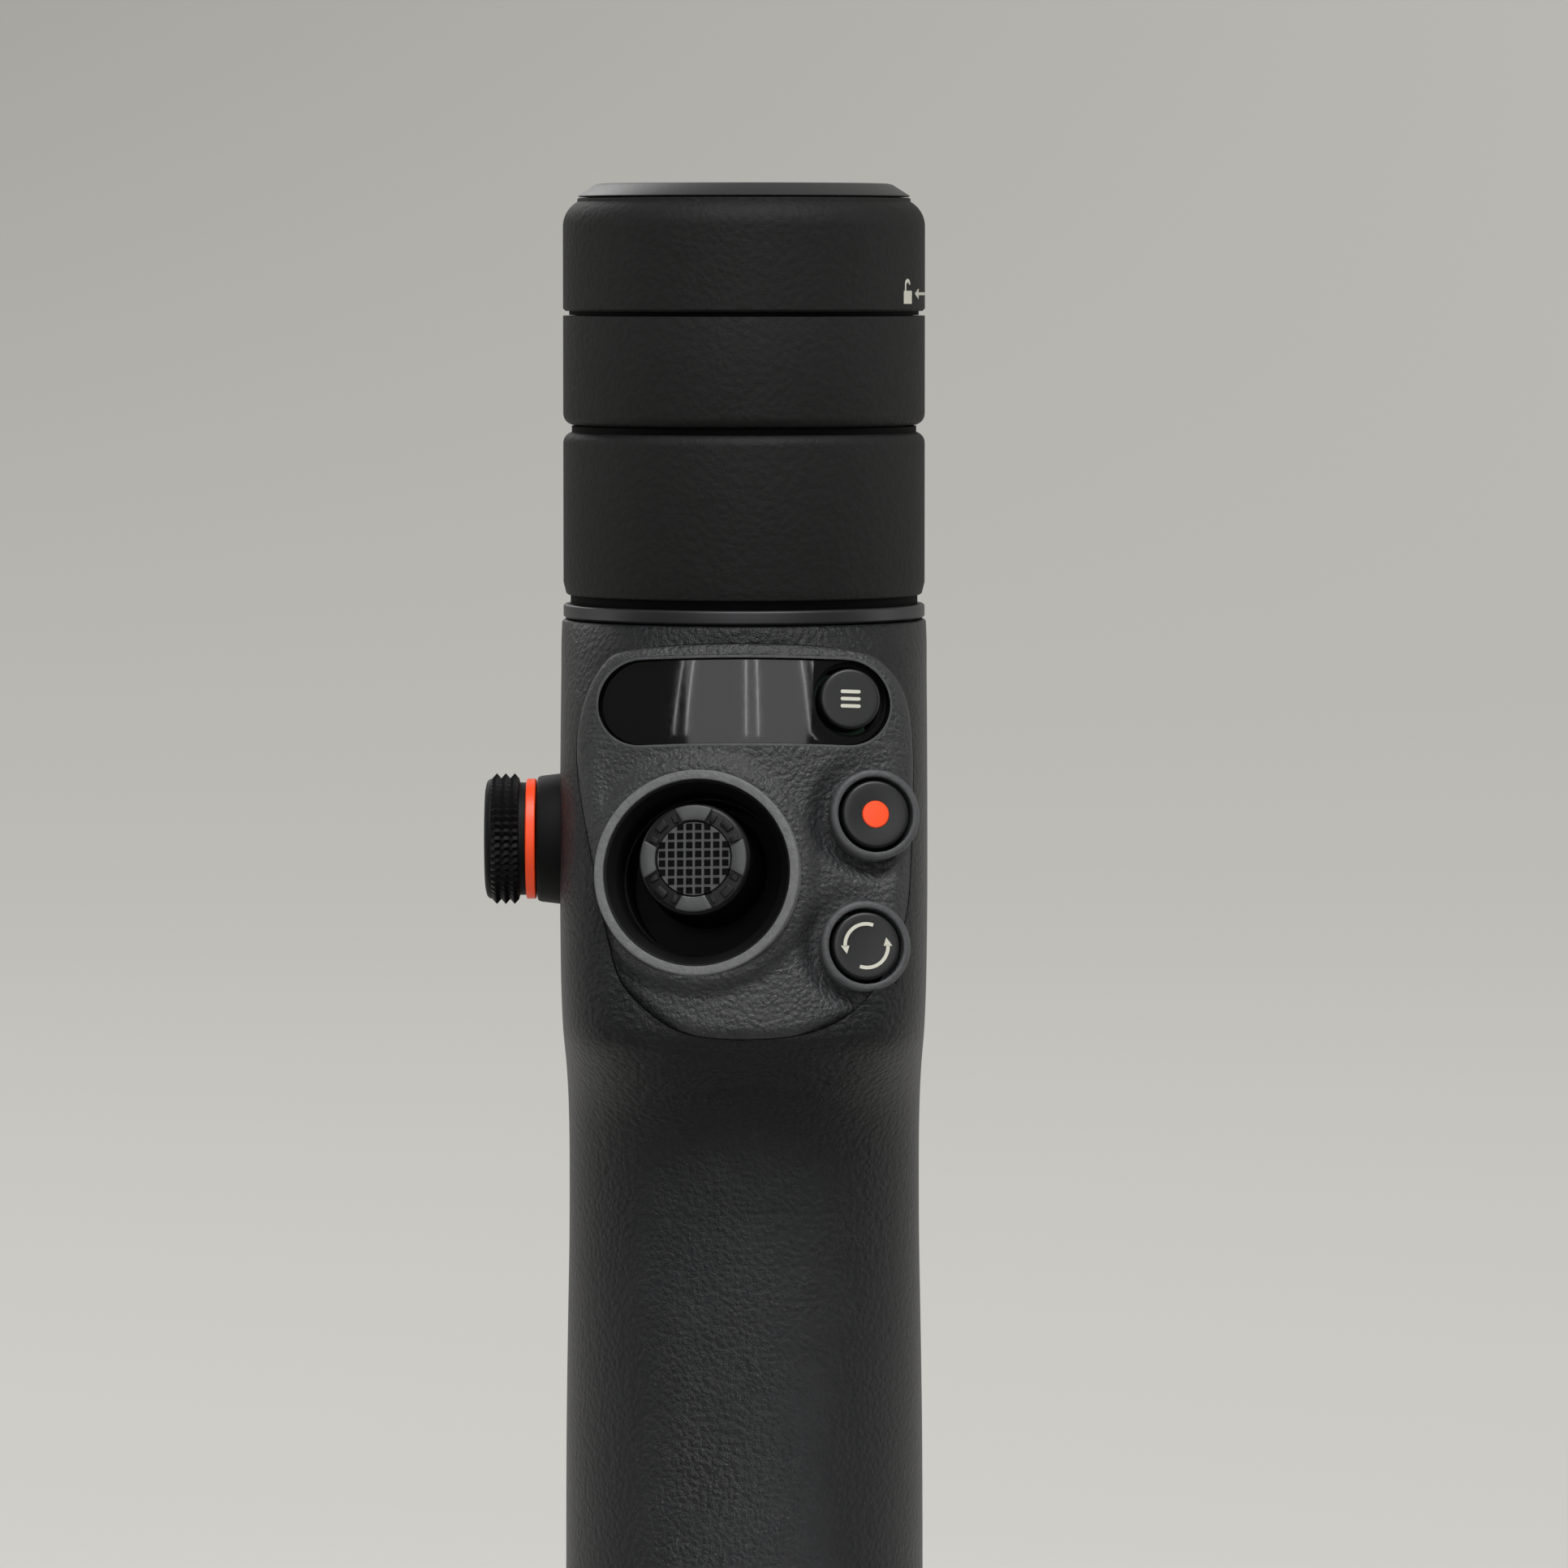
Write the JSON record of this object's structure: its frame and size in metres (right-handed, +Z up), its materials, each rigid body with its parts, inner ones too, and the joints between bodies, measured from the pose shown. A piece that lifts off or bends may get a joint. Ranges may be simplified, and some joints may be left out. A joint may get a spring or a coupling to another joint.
{
  "type": "smartphone gimbal",
  "caption": "Folding three-axis phone stabiliser: grained grip with joystick, keys and side wheel, telescopic rod, stacked pan motor and a fold-down arm behind the grip.",
  "frame": {"origin": "mouth of the base thread, on the pan axis", "axes": "+Z up the handle along the pan axis, -Y towards the user and the controls, +X to the user's right; stored folded"},
  "size_m": [0.0462, 0.0947, 0.19],
  "materials": {
    "grained_casing": "leather grain, soft touch",
    "grained_panel": "leather grain",
    "gloss_lens": "polished",
    "circuit_board": "solder mask",
    "matte_black": "matte",
    "control_plastic": "satin",
    "orange_plastic": "satin",
    "steel": "turned",
    "battery_wrap": "film wrapped",
    "rod_aluminium": "anodised satin",
    "head_ring": "anodised satin",
    "soft_grey": "fine grain, soft touch",
    "copper_winding": "enamelled",
    "magnet": "nickel plated"
  },
  "bodies": {
    "handle": {"handle_front_shell": "grained_casing", "handle_rear_shell": "grained_casing", "control_panel": "grained_panel", "display_lens": "gloss_lens", "display_board": "circuit_board", "joystick_bezel": "matte_black", "joystick_base": "matte_black", "button_board": "circuit_board", "button_switches": "steel", "side_wheel_base": "matte_black", "trigger_pin": "steel", "power_switch": "steel", "main_board": "circuit_board", "battery_cell": "battery_wrap", "usb_port": "steel", "rod_sleeve": "rod_aluminium", "base_cap": "grained_casing", "tripod_insert": "steel", "handle_screws": "steel"},
    "joystick_pivot": {"joystick_cross": "steel"},
    "joystick_stick": {"joystick_cap": "matte_black"},
    "mode_key": {"mode_button": "control_plastic"},
    "record_key": {"record_button": "control_plastic", "record_dot": "orange_plastic"},
    "flip_key": {"flip_button": "control_plastic"},
    "wheel": {"side_wheel": "matte_black", "side_wheel_ring": "orange_plastic"},
    "trigger_lever": {"trigger": "control_plastic"},
    "power_key": {"power_button": "control_plastic"},
    "middle_rod": {"rod_middle": "rod_aluminium"},
    "inner_rod": {"rod_inner": "rod_aluminium", "rod_head": "head_ring", "pan_housing": "soft_grey", "pan_board": "circuit_board", "pan_stator": "copper_winding", "pan_bearings": "steel"},
    "pan_head": {"pan_rotor_shell": "soft_grey", "pan_magnet_ring": "magnet", "pan_shaft": "steel", "lock_cap": "soft_grey", "shoulder_pin": "steel"},
    "lock_collar": {"lock_ring": "soft_grey"},
    "arm": {"arm_shell": "soft_grey", "arm_cover": "soft_grey", "elbow_pin": "steel"},
    "roll_base": {"roll_housing": "soft_grey", "roll_stator": "copper_winding", "roll_bearings": "steel"},
    "roll_arm": {"roll_bracket": "soft_grey", "roll_magnet_ring": "magnet", "roll_shaft": "steel", "tilt_housing": "soft_grey", "tilt_stator": "copper_winding", "tilt_bearing": "steel"},
    "tilt_head": {"tilt_rotor": "soft_grey", "tilt_shaft": "steel", "phone_plate": "magnet", "plate_magnets": "magnet"}
  },
  "joints": [
    {"name": "joystick_up_down", "type": "hinge", "parent": "handle", "child": "joystick_pivot", "pos_m": [-0.00376, -0.0183, 0.11934], "axis": [0.9906, -0.134, 0.0273], "range_deg": [-10, 10], "stiffness_Nm_per_rad": 0.01},
    {"name": "joystick_left_right", "type": "hinge", "parent": "joystick_pivot", "child": "joystick_stick", "pos_m": [-0.00376, -0.0183, 0.11934], "axis": [0, 0.1994, 0.9799], "range_deg": [-10, 10], "stiffness_Nm_per_rad": 0.01},
    {"name": "mode_press", "type": "slide", "parent": "handle", "child": "mode_key", "axis": [-0.2079, 0.9585, -0.195], "range_m": [0, 0.0005], "stiffness_N_per_m": 1000, "springref_m": -0.0003},
    {"name": "record_press", "type": "slide", "parent": "handle", "child": "record_key", "axis": [-0.2079, 0.9585, -0.195], "range_m": [0, 0.0005], "stiffness_N_per_m": 1000, "springref_m": -0.0003},
    {"name": "flip_press", "type": "slide", "parent": "handle", "child": "flip_key", "axis": [-0.2079, 0.9585, -0.195], "range_m": [0, 0.0005], "stiffness_N_per_m": 1000, "springref_m": -0.0003},
    {"name": "side_wheel_turn", "type": "hinge", "parent": "handle", "child": "wheel", "pos_m": [-0.0186, -0.005, 0.1215], "axis": [1, 0, 0], "continuous": true},
    {"name": "trigger_pull", "type": "hinge", "parent": "handle", "child": "trigger_lever", "pos_m": [0, 0.0162, 0.126], "axis": [-1, 0, 0], "range_deg": [0, 7], "stiffness_Nm_per_rad": 0.08, "springref_deg": -4.58},
    {"name": "power_press", "type": "slide", "parent": "handle", "child": "power_key", "axis": [-1, 0, 0], "range_m": [0, 0.0005], "stiffness_N_per_m": 1000, "springref_m": -0.0003},
    {"name": "rod_lower_slide", "type": "slide", "parent": "handle", "child": "middle_rod", "axis": [0, 0, 1], "range_m": [0, 0.1]},
    {"name": "rod_upper_slide", "type": "slide", "parent": "middle_rod", "child": "inner_rod", "axis": [0, 0, 1], "range_m": [0, 0.1]},
    {"name": "pan_axis", "type": "hinge", "parent": "inner_rod", "child": "pan_head", "pos_m": [0, 0, 0.16475], "axis": [0, 0, 1], "range_deg": [-161, 173]},
    {"name": "lock_turn", "type": "hinge", "parent": "pan_head", "child": "lock_collar", "pos_m": [0, 0, 0.1767], "axis": [0, 0, 1], "range_deg": [0, 20]},
    {"name": "shoulder_fold", "type": "hinge", "parent": "pan_head", "child": "arm", "pos_m": [0, 0.037, 0.17047], "axis": [1, 0, 0], "range_deg": [0, 170]},
    {"name": "elbow_fold", "type": "hinge", "parent": "arm", "child": "roll_base", "pos_m": [0, 0.037, 0.07827], "axis": [1, 0, 0], "range_deg": [0, 100]},
    {"name": "roll_axis", "type": "hinge", "parent": "roll_base", "child": "roll_arm", "pos_m": [0, 0.049, 0.05058], "axis": [0, 0, 1], "range_deg": [-120, 211]},
    {"name": "tilt_axis", "type": "hinge", "parent": "roll_arm", "child": "tilt_head", "pos_m": [0, 0.049, 0.02728], "axis": [1, 0, 0], "range_deg": [-101, 78]}
  ]
}
